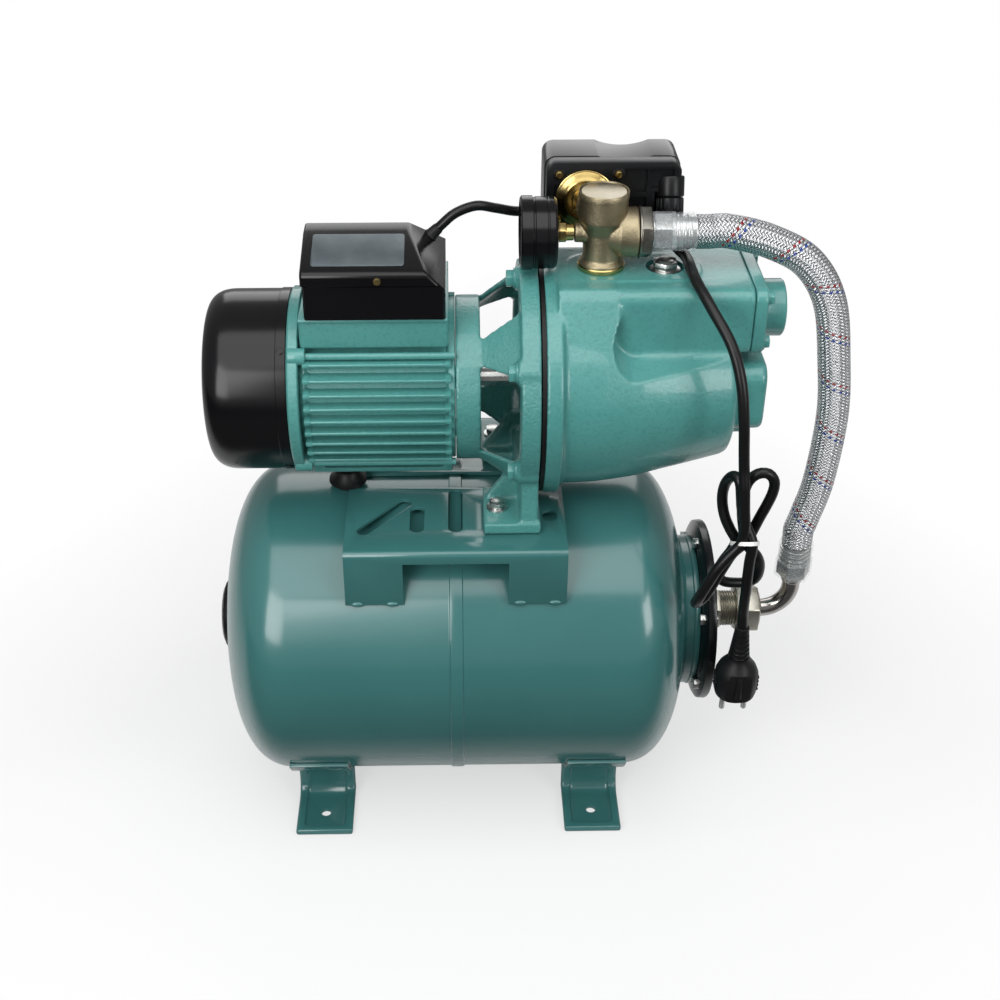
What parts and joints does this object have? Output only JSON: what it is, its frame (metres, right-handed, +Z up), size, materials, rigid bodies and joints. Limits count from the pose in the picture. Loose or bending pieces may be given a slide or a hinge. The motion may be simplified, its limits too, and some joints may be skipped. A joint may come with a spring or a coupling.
{
  "type": "surface pump",
  "caption": "Electric surface jet pump with a finned motor, cast casing, pressure switch and gauge, on a horizontal pressure tank joined to it by a braided hose.",
  "frame": {"origin": "under the middle of the pump set's box without its mains cord, on the plane that the tank's feet stand on", "axes": "+X along the pump shaft from the fan to the suction port, +Y to the back where the pressure switch sits, +Z up"},
  "size_m": [0.549, 0.284, 0.5863],
  "materials": {
    "tank_enamel": "dark teal enamel, glossy",
    "cast_enamel": "light teal enamel, semi gloss",
    "flange_black": "near black paint, glossy",
    "black_plastic": "near black, gloss",
    "black_rubber": "black, satin",
    "brass": "cast, dull",
    "bright_brass": "machined",
    "plated_steel": "zinc plated",
    "dark_chrome": "dark bright chrome",
    "golden_zinc": "yellow passivated zinc",
    "steel_braid": "woven stainless wire",
    "clear_sleeve": "clear shrunk sleeve",
    "clear_window": "clear plastic window",
    "ivory_plastic": "pale, matte",
    "copper_winding": "varnished winding on laminated core",
    "dial_paper": "white dial"
  },
  "bodies": {
    "pump_set": {"tank_shell": "tank_enamel", "tank_foot_left": "tank_enamel", "tank_foot_right": "tank_enamel", "pump_plate_front": "tank_enamel", "pump_plate_rear": "tank_enamel", "end_shield": "cast_enamel", "motor_housing": "cast_enamel", "pump_bracket": "cast_enamel", "pump_casing": "cast_enamel", "suction_cover": "cast_enamel", "tank_flange": "flange_black", "air_valve_cap": "black_plastic", "gauge_case": "black_plastic", "switch_base": "black_plastic", "switch_gland_right": "black_plastic", "switch_cover": "black_plastic", "fan_cover": "black_plastic", "terminal_cover": "black_plastic", "tank_bladder": "black_rubber", "casing_gasket": "black_rubber", "motor_buffer": "black_rubber", "shaft_seal": "black_rubber", "switch_lead": "black_rubber", "mains_cord": "black_rubber", "cord_tail": "black_rubber", "cord_hank": "black_rubber", "mains_plug": "black_rubber", "five_way_fitting": "brass", "gauge_stem": "brass", "air_valve_stem": "bright_brass", "flange_nipple": "plated_steel", "elbow_nut": "plated_steel", "hose_nut_upper": "plated_steel", "outlet_cap": "plated_steel", "switch_spring": "plated_steel", "rear_bearing": "plated_steel", "front_bearing": "plated_steel", "priming_plug": "plated_steel", "drain_plug": "plated_steel", "foot_bolt_front": "plated_steel", "foot_bolt_rear": "plated_steel", "elbow": "dark_chrome", "switch_flange": "golden_zinc", "hose": "steel_braid", "hose_ferrule_upper": "clear_sleeve", "hose_ferrule_lower": "clear_sleeve", "gauge_lens": "clear_window", "capacitor": "ivory_plastic", "terminal_block": "ivory_plastic", "diffuser": "ivory_plastic", "ejector": "ivory_plastic", "stator": "copper_winding", "gauge_dial": "dial_paper"},
    "rotor": {"shaft": "plated_steel", "rotor_core": "plated_steel", "cooling_fan": "ivory_plastic", "impeller": "bright_brass"},
    "gauge_needle": {"gauge_pointer": "black_plastic"},
    "switch_arm": {"switch_lever": "plated_steel"},
    "air_valve_core": {"air_valve_pin": "bright_brass"}
  },
  "joints": [
    {"name": "rotor_spin", "type": "hinge", "parent": "pump_set", "child": "rotor", "pos_m": [0, 0, 0.4135], "axis": [1, 0, 0], "continuous": true},
    {"name": "gauge_needle_turn", "type": "hinge", "parent": "pump_set", "child": "gauge_needle", "pos_m": [0.0126, 0, 0.5413], "axis": [-1, 0, 0], "range_deg": [0, 270]},
    {"name": "switch_arm_tilt", "type": "hinge", "parent": "pump_set", "child": "switch_arm", "pos_m": [0.0914, 0.0568, 0.5573], "axis": [0, 0, 1], "range_deg": [-4, 0]},
    {"name": "air_valve_press", "type": "slide", "parent": "pump_set", "child": "air_valve_core", "axis": [1, 0, 0], "range_m": [0, 0.0012], "stiffness_N_per_m": 300}
  ]
}
